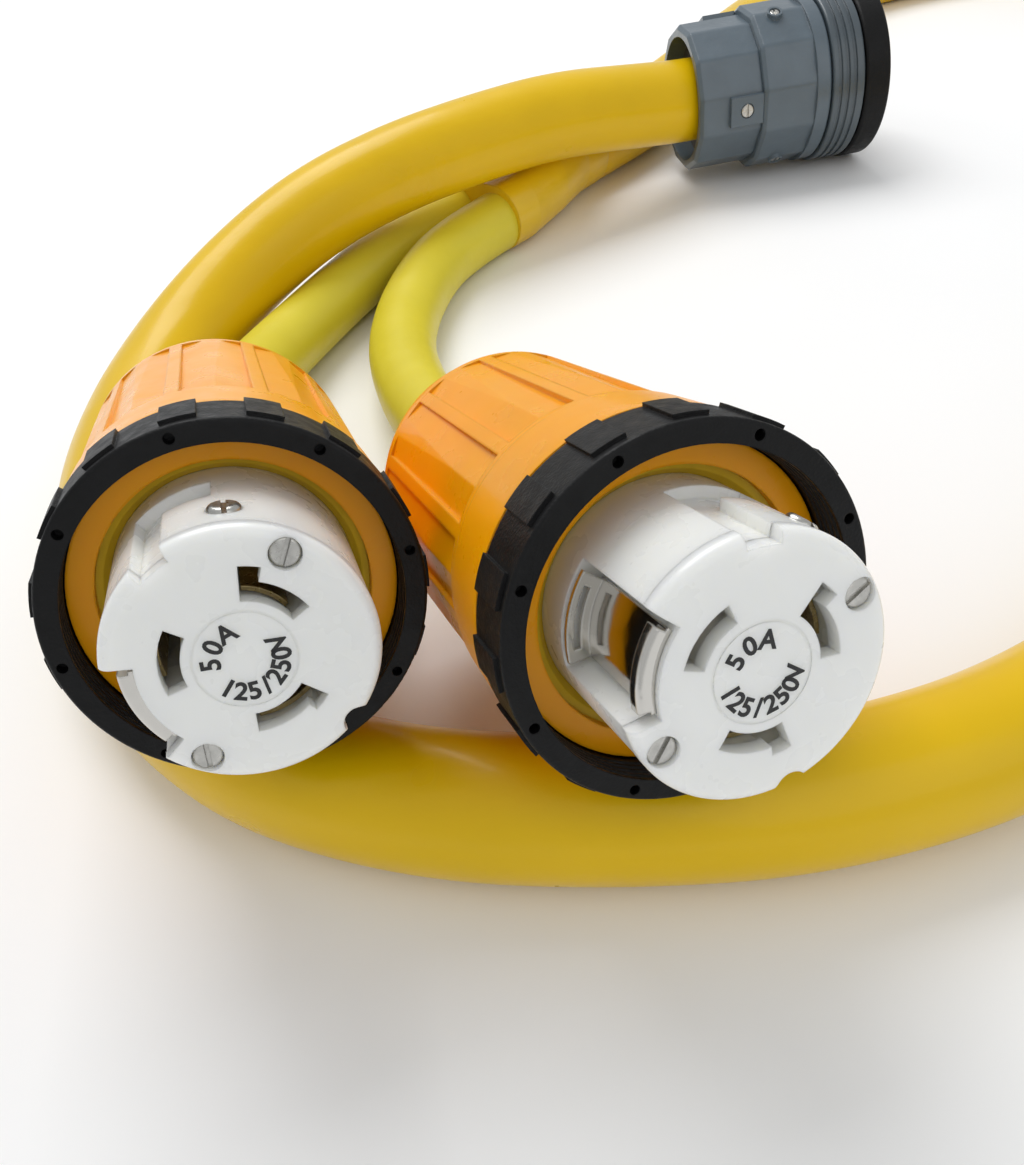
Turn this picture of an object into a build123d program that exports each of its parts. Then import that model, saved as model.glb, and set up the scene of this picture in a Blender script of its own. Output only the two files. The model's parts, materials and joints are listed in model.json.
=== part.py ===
"""Shore power adapter cord: a 100 A plug, a trunk cable, a moulded splitter and two 50 A locking connectors.

Millimetres, +Z up. The cord lies on the plane Z = 0, and the origin is on that plane, under the middle of the
plug, the connectors and the splitter.
"""
import os
from math import cos, pi, radians, sin, tan

from build123d import *

# ---------------------------------------------------------------- driving dimensions
# Places are written in a layout frame, and ORIGIN is the layout point that becomes the part's origin.
ORIGIN = (53.0, 349.0)

# cables
TRUNK_D = 36.0  # four 2 AWG conductors in one jacket
LEG_D = 26.7  # four 6 AWG conductors in one jacket

# 50 A connector, along its own axis: z = 0 at the front of the lock ring, the face looks along +z
NOSE_R = 25.3
FACE_Z = 24.1
CAP_T = 3.8
BARREL_REAR_Z = -21.0
REAR_BODY_Z = -59.0
REAR_BODY_R = 24.0
CLAMP_REAR_Z = -77.0
SLOT_R = 13.3  # pitch radius of the three arc slots
SLOT_W = 3.9
FACE_SCREW_R = 21.4
FACE_SCREW_ANGLES = (21, 201)
WINDOW = (134, 185)  # ground window in the nose, degrees
LANE = (74, 90)  # keying lane along the nose, degrees
GROUND_SCREW = (47, 12.6)  # angle, height on the axis

RING_R = 38.5
RING_LEN = 15.2
RING_BORE = 33.8
RING_LIP_BORE = 32.2
RING_LIP_T = 2.6
RING_RELIEF_R = 34.2  # bore round the boot's flange
GRIP_PADS = 15
GRIP_SPAN = 10.5
GRIP_H = 0.8
RING_HOLE_R = 36.2  # pitch radius of the eight small holes in its front

BOOT_FLANGE_R = 33.5
BOOT_FACE_Z = -9.5
BOOT_MOUTH_R = 28.0
BOOT_NECK_R = 31.8
BOOT_SHOULDER_R = 38.2
BOOT_SHOULDER_Z = -15.9
BOOT_SHOULDER_T = 18.4
BOOT_R = 36.0
BOOT_REAR_R = 35.2
BOOT_REAR_Z = -114.4
BOOT_WALL = 3.6
BUSH_R = 16.5
BUSH_END_Z = -138.7

# 100 A plug, along its own axis: z = 0 at the rim where the trunk enters, pins look along +z
CLAMP_SLEEVE = (0.0, 30.0, 32.0)  # rear, front, outer radius
MID_HOUSING = (30.0, 62.0, 35.6)
TURN_RING = (62.4, 77.6, 37.3)
COLLAR = (78.0, 90.0, 38.0)
SLEEVE_BORE = 27.0
BOSS_ANGLES = (58, 178, 298)  # screw bosses round the clamp sleeve
HOUSING_SCREW_ANGLES = (108, 228, 348)
SHROUD_R = 33.6
SHROUD_BORE = 30.6
PLUG_HEIGHT = COLLAR[2]

# moulded splitter, along its own axis: z = 0 where the two legs enter
SPLIT_LEN = 80.0
SPLIT_H = 18.5  # height of its axis
MOUTH_H = 15.0  # half height round the legs
LEG_GAP = 27.6

# ---------------------------------------------------------------- places
LEFT_AXIS = Vector(0.2020, -0.9361, 0.2880).normalized()
LEFT_POINT = (-52.9, 160.6, 82.5)
LEFT_ROLL = 33.0
RIGHT_AXIS = Vector(0.2700, -0.9119, 0.3090).normalized()
RIGHT_POINT = (34.8, 139.8, 80.4)
RIGHT_ROLL = 0.0
PLUG_POINT = (121.8, 544.4, PLUG_HEIGHT)
PLUG_HEADING = 5.0  # degrees from +X
SPLIT_POINT = (13.5, 503.0, SPLIT_H)
SPLIT_AXIS = Vector(0.737, 0.676, 0).normalized()
PLUG_AXIS = Vector(1, 0, 0).rotate(Axis.Z, PLUG_HEADING)

FLOOR_T = TRUNK_D / 2
FLOOR_L = LEG_D / 2


def place(x, y, z):
    """Layout point to part frame."""
    return Vector(x - ORIGIN[0], y - ORIGIN[1], z)


def frame_of(point, axis, roll=0.0):
    """Plane at a layout point whose Z is the axis and whose X is level, then rolled about the axis."""
    level = Vector(-axis.Y, axis.X, 0).normalized()
    rise = axis.cross(level)
    x_dir = level * cos(radians(roll)) + rise * sin(radians(roll))
    return Plane(origin=place(*point), x_dir=x_dir, z_dir=axis)


LEFT_FRAME = frame_of(LEFT_POINT, LEFT_AXIS, LEFT_ROLL)
RIGHT_FRAME = frame_of(RIGHT_POINT, RIGHT_AXIS, RIGHT_ROLL)
PLUG_FRAME = frame_of(PLUG_POINT, PLUG_AXIS)
SPLIT_FRAME = frame_of(SPLIT_POINT, SPLIT_AXIS)

written = []


def write(solid, label, frame=None):
    """Place a finished piece, label it and write its STEP file."""
    placed = frame.location * solid if frame else solid
    placed.label = label
    export_step(placed, f"parts/{label}.step")
    written.append(placed)


def polar(radius, angle):
    return (radius * cos(radians(angle)), radius * sin(radians(angle)))


def wedge(inner, outer, start, end):
    """Arc-shaped sketch face between two radii and two angles, in degrees, in the current sketch."""
    with BuildLine(mode=Mode.PRIVATE) as outline:
        CenterArc((0, 0), outer, start, end - start)
        CenterArc((0, 0), inner, start, end - start)
        Line(polar(inner, start), polar(outer, start))
        Line(polar(inner, end), polar(outer, end))
    return make_face(outline.edges())


# ---------------------------------------------------------------- 50 A connector
SLOTS = (
    # start, end, foot: the radius of the outward foot at the far end, or none
    (107, 157, None),
    (-8, 44, 18.0),
    (-131, -77, 17.0),
)
FOOT_SPAN = 13


def slot_sketch(grow=0.0):
    """The three arc slots in the current sketch, grown on all sides."""
    inner = SLOT_R - SLOT_W / 2 - grow
    outer = SLOT_R + SLOT_W / 2 + grow
    for start, end, foot in SLOTS:
        wedge(inner, outer, start - 3 * grow, end + 3 * grow)
        if foot:
            wedge(inner, foot + grow, end - FOOT_SPAN, end + 3 * grow)


def nose_cutters(depth, top):
    """Lane and ground window removed from the nose, as one solid that reaches down from top."""
    with BuildPart() as cutter:
        with BuildSketch(Plane.XY.offset(top - depth)):
            wedge(19.4, NOSE_R + 2, *WINDOW)
            wedge(NOSE_R - 2.6, NOSE_R + 2, *LANE)
        extrude(amount=depth)
    return cutter.part


def face_cap():
    """Front of the nose: arc slots, sunk screw seats and a fine groove round the middle."""
    cutters = nose_cutters(CAP_T, FACE_Z)
    with BuildPart() as cap:
        with BuildSketch(Plane.XY.offset(FACE_Z - CAP_T)):
            Circle(NOSE_R)
        extrude(amount=CAP_T)
        fillet(cap.edges().group_by(Axis.Z)[-1], 2.2)
        with BuildSketch(Plane.XY.offset(FACE_Z - CAP_T)):
            slot_sketch()
        extrude(amount=CAP_T, mode=Mode.SUBTRACT)
        for angle in FACE_SCREW_ANGLES:
            with Locations((*polar(FACE_SCREW_R, angle), FACE_Z)):
                CounterBoreHole(1.6, 3.05, CAP_T - 0.8, depth=CAP_T)
        with Locations((*polar(NOSE_R + 0.4, -83), FACE_Z)):
            Hole(3.3, depth=CAP_T)
        with BuildSketch(Plane.XY.offset(FACE_Z - 0.15)):
            Circle(9.6)
            Circle(9.3, mode=Mode.SUBTRACT)
        extrude(amount=0.15, mode=Mode.SUBTRACT)
        add(cutters, mode=Mode.SUBTRACT)
    return cap.part


def front_barrel():
    """Nose behind the cap: pockets for the contacts, the keying lane and the ground window."""
    barrel_top = FACE_Z - CAP_T
    cutters = nose_cutters(25.0, barrel_top)
    with BuildPart() as barrel:
        with BuildSketch(Plane.XY.offset(BARREL_REAR_Z)):
            Circle(NOSE_R - 0.2)
        extrude(amount=barrel_top - BARREL_REAR_Z)
        with BuildSketch(Plane.XY.offset(barrel_top - 33)):
            slot_sketch(grow=1.3)
        extrude(amount=33, mode=Mode.SUBTRACT)
        add(cutters, mode=Mode.SUBTRACT)
        # rear of the keying lane turns clockwise
        with BuildSketch(Plane.XY.offset(-4.7)):
            wedge(NOSE_R - 2.6, NOSE_R + 2, 52, 76)
        extrude(amount=8.5, mode=Mode.SUBTRACT)
        with Locations((*polar(NOSE_R + 0.4, -83), barrel_top)):
            Hole(3.3, depth=16)
        for start, end, _ in SLOTS:
            middle = (start + end) / 2
            with Locations((*polar(SLOT_R, middle), BARREL_REAR_Z + 10)):
                Hole(3.0, depth=10)
        for angle in FACE_SCREW_ANGLES:
            with Locations((*polar(FACE_SCREW_R, angle), barrel_top)):
                Hole(1.6, depth=12)
        angle, height = GROUND_SCREW
        seat = Plane(
            origin=(*polar(NOSE_R - 1.1, angle), height),
            z_dir=(cos(radians(angle)), sin(radians(angle)), 0),
        )
        with BuildSketch(seat):
            Circle(3.4)
        extrude(amount=3, mode=Mode.SUBTRACT)
        with BuildSketch(seat):
            Circle(1.5)
        extrude(amount=-2.6, mode=Mode.SUBTRACT)
    return barrel.part


def rear_body():
    with BuildPart() as body:
        with BuildSketch(Plane.XY.offset(REAR_BODY_Z)):
            Circle(REAR_BODY_R)
        extrude(amount=BARREL_REAR_Z - REAR_BODY_Z)
        chamfer(body.edges().group_by(Axis.Z)[0], 1.2)
        # wiring pocket at the rear, four wells for the terminal screws
        with BuildSketch(Plane.XY.offset(REAR_BODY_Z)):
            Circle(12.5)
        extrude(amount=16, mode=Mode.SUBTRACT)
        for start, end, _ in SLOTS:
            middle = (start + end) / 2
            with Locations((*polar(SLOT_R, middle), BARREL_REAR_Z)):
                Hole(3.0, depth=24)
            well = Plane(
                origin=(*polar(REAR_BODY_R, middle), -38),
                z_dir=(cos(radians(middle)), sin(radians(middle)), 0),
            )
            with BuildSketch(well):
                Circle(2.6)
            extrude(amount=-8.0, mode=Mode.SUBTRACT)
    return body.part


def contact(start, end):
    """Female contact: two arc leaves on a base, with a round tail that the conductor's screw clamps."""
    middle = (start + end) / 2
    with BuildPart() as metal:
        with BuildSketch(Plane.XY.offset(-12.6)):
            wedge(SLOT_R - 2.9, SLOT_R + 2.9, start + 2, end - 2)
        extrude(amount=2.0)
        with BuildSketch(Plane.XY.offset(-10.6)):
            wedge(SLOT_R - 2.9, SLOT_R - 2.0, start + 2, end - 2)
            wedge(SLOT_R + 2.0, SLOT_R + 2.9, start + 2, end - 2)
        extrude(amount=27)
        with BuildSketch(Plane.XY.offset(-44.5)):
            with Locations(polar(SLOT_R, middle)):
                Circle(2.8)
        extrude(amount=44.5 - 12.6)
    return metal.part


def ground_strip():
    """Polished grounding strip in the window: sunk along the barrel, rolled over at the front."""
    start, end = WINDOW
    with BuildPart() as strip:
        with BuildSketch(Plane.XY.offset(-3.4)):
            wedge(19.45, 20.45, start + 3, end - 3)
        extrude(amount=26.2)
        # rolled front lip
        with BuildSketch(Plane.XY.offset(19.8)):
            wedge(20.45, 22.6, start + 5, end - 5)
        extrude(amount=3.0)
        front_rims = strip.edges().filter_by(GeomType.CIRCLE).group_by(Axis.Z)[-1]
        fillet(front_rims.sort_by(SortBy.RADIUS)[-1], 1.0)
        # slotted rear tab that stands up from the strip
        with BuildSketch(Plane.XY.offset(-3.4)):
            wedge(20.45, 25.0, start + 4, end - 4)
        extrude(amount=1.1)
        with BuildSketch(Plane.XY.offset(-3.4)):
            wedge(22.2, 23.6, start + 10, end - 10)
        extrude(amount=1.1, mode=Mode.SUBTRACT)
    return strip.part


def slotted_screw(plane, head_r, head_h, shank_r, shank_len, slot_w, dome=0.0):
    """Slotted screw whose head stands on the plane; the dome rounds its edge."""
    with BuildPart() as screw:
        with BuildSketch(Plane.XY):
            Circle(head_r)
        extrude(amount=head_h)
        if dome:
            fillet(screw.edges().group_by(Axis.Z)[-1], dome)
        with BuildSketch(Plane.XY):
            Circle(shank_r)
        extrude(amount=-shank_len)
        with BuildSketch(Plane.XY.offset(head_h - 0.8)):
            Rectangle(2 * head_r + 1, slot_w)
        extrude(amount=1, mode=Mode.SUBTRACT)
    return plane.location * screw.part


def group(solids):
    """Separate solids in one node."""
    return Compound(children=list(solids))


def face_screws():
    return group(
        slotted_screw(
            Plane(origin=(*polar(FACE_SCREW_R, angle), FACE_Z - CAP_T + 0.8), x_dir=(1, turn, 0)),
            2.85, 2.2, 1.5, 10, 0.9, dome=0.5,
        )
        for angle, turn in zip(FACE_SCREW_ANGLES, (0.5, 1.2))
    )


def ground_screw():
    angle, height = GROUND_SCREW
    plane = Plane(
        origin=(*polar(NOSE_R - 1.1, angle), height),
        x_dir=(0, 0, 1),
        z_dir=(cos(radians(angle)), sin(radians(angle)), 0),
    )
    return slotted_screw(plane, 3.2, 1.7, 1.4, 2.4, 0.9, dome=1.1)


def terminal_screws():
    solids = []
    for start, end, _ in SLOTS:
        middle = (start + end) / 2
        plane = Plane(
            origin=(*polar(SLOT_R + 3.5, middle), -38),
            z_dir=(cos(radians(middle)), sin(radians(middle)), 0),
        )
        solids.append(slotted_screw(plane, 2.4, 2.6, 1.2, 0.5, 0.8))
    return group(solids)


def cord_clamp(side):
    """Half of the cord clamp behind the body: a saddle round the cable with an ear at each end."""
    with BuildPart() as clamp:
        with BuildSketch(Plane.XY.offset(CLAMP_REAR_Z)):
            Rectangle(48, 17.6, align=(Align.CENTER, Align.MIN))
        extrude(amount=REAR_BODY_Z - CLAMP_REAR_Z)
        with BuildSketch(Plane.XY.offset(CLAMP_REAR_Z)):
            Circle(29.6)
        extrude(amount=REAR_BODY_Z - CLAMP_REAR_Z, mode=Mode.INTERSECT)
        with BuildSketch(Plane.XY.offset(CLAMP_REAR_Z)):
            Circle(LEG_D / 2 + 0.05)
            Rectangle(60, 0.8)
        extrude(amount=REAR_BODY_Z - CLAMP_REAR_Z, mode=Mode.SUBTRACT)
        for x in (-19.5, 19.5):
            seat = Plane(origin=(x, 10, -68), z_dir=(0, 1, 0))
            with BuildSketch(seat):
                Circle(3.6)
            extrude(amount=10, mode=Mode.SUBTRACT)
            with BuildSketch(seat):
                Circle(1.9)
            extrude(amount=-12, mode=Mode.SUBTRACT)
    solid = clamp.part
    return solid if side > 0 else Rot(0, 0, 180) * solid


def clamp_screws():
    solids = []
    for x in (-19.5, 19.5):
        plane = Plane(origin=(x, 10, -68), x_dir=(0.4, 0, 1), z_dir=(0, 1, 0))
        solids.append(slotted_screw(plane, 3.3, 2.4, 1.8, 18, 0.9))
    return group(solids)


def conductors(radius, pitch, start, end):
    """Four insulated conductors between the jacket's end and the terminals."""
    with BuildPart() as wires:
        with BuildSketch(Plane.XY.offset(start)):
            with PolarLocations(pitch, 4, start_angle=45):
                Circle(radius)
        extrude(amount=end - start)
    return wires.part


def lock_ring():
    """Threaded sealing ring with grip pads round it and a lip that keeps it on the boot's neck."""
    thread_turns = 4
    thread_pitch = 1.8
    lip_front = -RING_LEN + RING_LIP_T
    with BuildPart() as ring:
        with BuildSketch(Plane.XZ):
            with BuildLine():
                Polyline(
                    (RING_LIP_BORE, -RING_LEN),
                    (RING_R, -RING_LEN),
                    (RING_R, 0),
                    (RING_BORE, 0),
                    (RING_BORE, BOOT_FACE_Z + 0.7),
                    (RING_RELIEF_R, BOOT_FACE_Z + 0.3),
                    (RING_RELIEF_R, lip_front),
                    (RING_LIP_BORE, lip_front),
                    close=True,
                )
            make_face()
        revolve(axis=Axis.Z)
        rim = ring.edges().filter_by(GeomType.CIRCLE).sort_by(SortBy.RADIUS)[-2:]
        fillet(rim, 0.8)
        with BuildSketch(Plane.XZ):
            for turn in range(thread_turns):
                with Locations((RING_BORE, -1.6 - turn * thread_pitch)):
                    Polygon((-0.1, -0.75), (0.95, 0), (-0.1, 0.75), align=None)
        revolve(axis=Axis.Z, mode=Mode.SUBTRACT)
        with BuildSketch(Plane.XY.offset(-RING_LEN + 0.6)):
            for pad in range(GRIP_PADS):
                start = 99 + pad * 360 / GRIP_PADS
                wedge(RING_R - 0.6, RING_R + GRIP_H, start, start + GRIP_SPAN)
        extrude(amount=RING_LEN - 3.0)
        with PolarLocations(RING_HOLE_R, 8, start_angle=15):
            Hole(1.1, depth=3)
    return ring.part


def boot_panels(body_front):
    """What twelve flat panels between ribs take off the boot's round body."""
    panel_rear = -101.5
    with BuildPart() as panels:
        with BuildSketch(Plane.XY.offset(panel_rear)):
            Circle(BOOT_R + 6)
            RegularPolygon(BOOT_R - 0.55, 12, major_radius=False, rotation=15, mode=Mode.SUBTRACT)
            with PolarLocations(BOOT_R - 1, 12):
                Rectangle(12, 3.4, mode=Mode.SUBTRACT)
        extrude(amount=body_front - 3.0 - panel_rear)
    return panels.part


def boot():
    """Hollow weatherproof boot: sealing flange, neck for the ring, shoulder, panelled body, rear wall."""
    cavity_r = 30.4
    body_front = BOOT_SHOULDER_Z - BOOT_SHOULDER_T
    flange_rear = -RING_LEN + RING_LIP_T + 0.4
    panels = boot_panels(body_front)
    with BuildPart() as shell:
        with BuildSketch(Plane.XZ):
            with BuildLine():
                Polyline(
                    (0, BOOT_FACE_Z),
                    (BOOT_FLANGE_R, BOOT_FACE_Z),
                    (BOOT_FLANGE_R, flange_rear),
                    (BOOT_NECK_R, flange_rear),
                    (BOOT_NECK_R, BOOT_SHOULDER_Z),
                    (BOOT_SHOULDER_R, BOOT_SHOULDER_Z),
                    (BOOT_SHOULDER_R, BOOT_SHOULDER_Z - 2.0),
                    (BOOT_R + 1.6, body_front + 0.8),
                    (BOOT_R + 0.9, body_front - 1.2),
                    (BOOT_REAR_R + 0.9, -104),
                    (BOOT_REAR_R - 0.6, -106),
                    (BOOT_REAR_R - 1.6, BOOT_REAR_Z),
                    (0, BOOT_REAR_Z),
                    close=True,
                )
            make_face()
        revolve(axis=Axis.Z)
        add(panels, mode=Mode.SUBTRACT)
        with BuildSketch(Plane.XZ):
            with BuildLine():
                Polyline(
                    (0, BOOT_FACE_Z),
                    (BOOT_MOUTH_R, BOOT_FACE_Z),
                    (BOOT_MOUTH_R, -22),
                    (cavity_r - 1.6, -25),
                    (cavity_r, -38),
                    (cavity_r, BOOT_REAR_Z + BOOT_WALL),
                    (0, BOOT_REAR_Z + BOOT_WALL),
                    close=True,
                )
            make_face()
        revolve(axis=Axis.Z, mode=Mode.SUBTRACT)
        with BuildSketch(Plane.XY.offset(BOOT_REAR_Z)):
            Circle(BUSH_R + 0.05)
        extrude(amount=BOOT_WALL, mode=Mode.SUBTRACT)
        rear_rims = shell.edges().filter_by(GeomType.CIRCLE).group_by(Axis.Z)[0]
        fillet(rear_rims.sort_by(SortBy.RADIUS)[-1], 2.4)
    return shell.part


def boot_gasket():
    """Soft sealing ring between the boot's mouth and the nose."""
    with BuildPart() as gasket:
        with BuildSketch(Plane.XZ):
            with BuildLine():
                Polyline(
                    (NOSE_R - 0.15, -18.5),
                    (BOOT_MOUTH_R, -18.5),
                    (BOOT_MOUTH_R, -12.0),
                    (NOSE_R + 1.2, -12.6),
                    (NOSE_R - 0.15, -14.5),
                    close=True,
                )
            make_face()
        revolve(axis=Axis.Z)
    return gasket.part


def cable_bushing():
    """Tapered rubber strain relief in the boot's rear wall, grooved for the wall."""
    with BuildPart() as bush:
        with BuildSketch(Plane.XZ):
            with BuildLine():
                Polyline(
                    (LEG_D / 2, BUSH_END_Z),
                    (LEG_D / 2 + 1.3, BUSH_END_Z),
                    (BUSH_R + 0.6, BOOT_REAR_Z - 5),
                    (BUSH_R + 2.6, BOOT_REAR_Z - 3),
                    (BUSH_R + 2.6, BOOT_REAR_Z),
                    (BUSH_R, BOOT_REAR_Z),
                    (BUSH_R, BOOT_REAR_Z + BOOT_WALL),
                    (BUSH_R + 2.6, BOOT_REAR_Z + BOOT_WALL),
                    (BUSH_R + 1.6, BOOT_REAR_Z + BOOT_WALL + 5),
                    (LEG_D / 2, BOOT_REAR_Z + BOOT_WALL + 5),
                    close=True,
                )
            make_face()
        revolve(axis=Axis.Z)
    return bush.part


def cable_tail():
    """End of the leg's jacket, from the bushing to inside the cord clamp."""
    with BuildPart() as tail:
        with BuildSketch(Plane.XY.offset(BUSH_END_Z)):
            Circle(LEG_D / 2)
        extrude(amount=-63.5 - BUSH_END_Z)
    return tail.part


def connector(side, frame):
    pieces = {
        "lock_ring": lock_ring(),
        "boot": boot(),
        "boot_gasket": boot_gasket(),
        "face_cap": face_cap(),
        "front_barrel": front_barrel(),
        "rear_body": rear_body(),
        "contact_x": contact(*SLOTS[0][:2]),
        "contact_y": contact(*SLOTS[1][:2]),
        "contact_w": contact(*SLOTS[2][:2]),
        "ground_strip": ground_strip(),
        "face_screws": face_screws(),
        "ground_screw": ground_screw(),
        "terminal_screws": terminal_screws(),
        "cord_clamp_upper": cord_clamp(1),
        "cord_clamp_lower": cord_clamp(-1),
        "clamp_screws": clamp_screws(),
        "conductors": conductors(2.9, 6.4, -63.5, -44.8),
        "cable_bushing": cable_bushing(),
        "cable_tail": cable_tail(),
    }
    for name, solid in pieces.items():
        write(solid, f"{side}_{name}", frame)


# ---------------------------------------------------------------- 100 A plug
def radial_seat(radius, angle, height):
    """Plane that looks outwards at an angle round the axis."""
    return Plane(
        origin=(*polar(radius, angle), height),
        z_dir=(cos(radians(angle)), sin(radians(angle)), 0),
    )


def clamp_housing():
    """Faceted sleeve round the trunk, with three screw bosses."""
    rear, front, outer = CLAMP_SLEEVE
    with BuildPart() as sleeve:
        with BuildSketch(Plane.XY.offset(rear)):
            RegularPolygon(outer, 12, rotation=15)
        extrude(amount=front - rear)
        fillet(sleeve.edges().filter_by(Axis.Z), 4.0)
        chamfer(sleeve.edges().group_by(Axis.Z)[0], 1.6)
        for angle in BOSS_ANGLES:
            with Locations(Location((*polar(outer - 3.0, angle), front - 8), (0, 0, angle))):
                Box(8.4, 13, 15.8)
        with BuildSketch(Plane.XY.offset(rear)):
            Circle(SLEEVE_BORE)
        extrude(amount=front - 3 - rear, mode=Mode.SUBTRACT)
        with BuildSketch(Plane.XY.offset(front - 3)):
            Circle(22.5)
        extrude(amount=3, mode=Mode.SUBTRACT)
        for angle in BOSS_ANGLES:
            with BuildSketch(radial_seat(outer - 0.6, angle, front - 8)):
                Circle(3.2)
            extrude(amount=3, mode=Mode.SUBTRACT)
            with BuildSketch(radial_seat(outer - 0.6, angle, front - 8)):
                Circle(1.7)
            extrude(amount=-3.0, mode=Mode.SUBTRACT)
    return sleeve.part


def mid_housing():
    """Stepped, faceted body of the plug; its wall is drilled for the carrier's screws."""
    rear, front, outer = MID_HOUSING
    with BuildPart() as body:
        with BuildSketch(Plane.XY.offset(rear)):
            RegularPolygon(outer, 12, rotation=15)
        extrude(amount=front - rear - 5)
        fillet(body.edges().filter_by(Axis.Z), 5.0)
        chamfer(body.edges().group_by(Axis.Z)[0], 1.5)
        with BuildSketch(Plane.XY.offset(front - 7)):
            Circle(outer + 0.4)
        extrude(amount=7)
        fillet(body.edges().filter_by(GeomType.CIRCLE).group_by(Axis.Z)[-1], 1.2)
        for angle in HOUSING_SCREW_ANGLES:
            with BuildSketch(radial_seat(outer - 1.9, angle, rear + 11)):
                Circle(3.6)
            extrude(amount=3)
        with BuildSketch(Plane.XY.offset(rear)):
            Circle(30.0)
        extrude(amount=front - rear, mode=Mode.SUBTRACT)
        for angle in HOUSING_SCREW_ANGLES:
            with BuildSketch(radial_seat(outer - 1.4, angle, rear + 11)):
                Circle(2.5)
            extrude(amount=4, mode=Mode.SUBTRACT)
            with BuildSketch(radial_seat(outer - 1.4, angle, rear + 11)):
                Circle(1.3)
            extrude(amount=-5, mode=Mode.SUBTRACT)
    return body.part


def housing_screws():
    rear, _, outer = MID_HOUSING
    return group(
        slotted_screw(radial_seat(outer - 1.4, angle, rear + 11), 2.3, 2.2, 1.2, 3.6, 0.8, dome=0.6)
        for angle in HOUSING_SCREW_ANGLES
    )


def plug_clamp_screws():
    _, front, outer = CLAMP_SLEEVE
    return group(
        slotted_screw(radial_seat(outer - 0.6, angle, front - 8), 3.0, 2.0, 1.6, 2.8, 0.9, dome=0.7)
        for angle in BOSS_ANGLES
    )


def turn_ring():
    """Locking ring: a bayonet ring with three grooves round it and four grip ribs."""
    rear, front, outer = TURN_RING
    with BuildPart() as ring:
        with BuildSketch(Plane.XY.offset(rear)):
            Circle(outer)
            Circle(SHROUD_R + 0.35, mode=Mode.SUBTRACT)
        extrude(amount=front - rear)
        outer_rims = ring.edges().filter_by(GeomType.CIRCLE).sort_by(SortBy.RADIUS)[-2:]
        fillet(outer_rims, 0.9)
        with BuildSketch(Plane.XZ):
            for height in (3.4, 7.0, 10.6):
                with Locations((outer, rear + height)):
                    Rectangle(1.5, 1.6)
        revolve(axis=Axis.Z, mode=Mode.SUBTRACT)
    return ring.part


def collar():
    """Black front collar on the shroud."""
    rear, front, outer = COLLAR
    with BuildPart() as band:
        with BuildSketch(Plane.XY.offset(rear)):
            Circle(outer)
            Circle(SHROUD_R, mode=Mode.SUBTRACT)
        extrude(amount=front - rear)
        outer_rims = band.edges().filter_by(GeomType.CIRCLE).sort_by(SortBy.RADIUS)[-2:]
        fillet(outer_rims, 1.6)
    return band.part


def shroud():
    with BuildPart() as tube:
        with BuildSketch(Plane.XY.offset(MID_HOUSING[1])):
            Circle(SHROUD_R)
            Circle(SHROUD_BORE, mode=Mode.SUBTRACT)
        extrude(amount=COLLAR[1] - MID_HOUSING[1] + 0.8)
        # key rib for the polarity of the inlet
        with Locations((0, SHROUD_BORE - 1.0, 76)):
            Box(5, 2.6, 26)
    return tube.part


PIN_PLACES = ((12.5, 30), (12.5, 150), (12.5, 270))


def pin_carrier():
    with BuildPart() as disc:
        with BuildSketch(Plane.XY.offset(50)):
            Circle(29.9)
        extrude(amount=12)
        with BuildSketch(Plane.XY.offset(50)):
            for radius, angle in PIN_PLACES:
                with Locations(polar(radius, angle)):
                    Circle(5.0)
            Circle(3.6)
        extrude(amount=12, mode=Mode.SUBTRACT)
    return disc.part


def contact_pin(radius, low, high):
    with BuildPart() as pin:
        with BuildSketch(Plane.XY.offset(low)):
            Circle(radius)
        extrude(amount=high - low)
        fillet(pin.edges().group_by(Axis.Z)[-1], radius * 0.6)
    return pin.part


def line_pins():
    pin = contact_pin(4.95, 42, 84)
    return group(Pos(*polar(radius, angle), 0) * pin for radius, angle in PIN_PLACES)


def pin_screws():
    """Grub screws that clamp the conductors in the pins' tails."""
    solids = []
    for radius, angle in PIN_PLACES:
        plane = Plane(
            origin=(*polar(radius + 4.95, angle), 46),
            z_dir=(cos(radians(angle)), sin(radians(angle)), 0),
        )
        with BuildPart() as grub:
            with BuildSketch(plane):
                Circle(2.0)
            extrude(amount=3.0)
        solids.append(grub.part)
    return group(solids)


def grommet(trunk):
    """Rubber grommet that fills the sleeve's front round the trunk; its bore follows the cable."""
    with BuildPart() as rubber:
        with BuildSketch(Plane.XY.offset(9)):
            Circle(SLEEVE_BORE - 0.1)
        extrude(amount=18)
        with BuildSketch(Plane.XY.offset(27)):
            Circle(22.4)
        extrude(amount=3)
        add(PLUG_FRAME.location.inverse() * trunk, mode=Mode.SUBTRACT)
    return rubber.part


def clamp_jaws():
    """Two jaws that grip the conductors' bundle behind the carrier."""
    with BuildPart() as jaws:
        with BuildSketch(Plane.XY.offset(35)):
            Circle(29.0)
            Circle(15.0, mode=Mode.SUBTRACT)
            Rectangle(2.0, 70, mode=Mode.SUBTRACT)
        extrude(amount=6)
    return jaws.part


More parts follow.
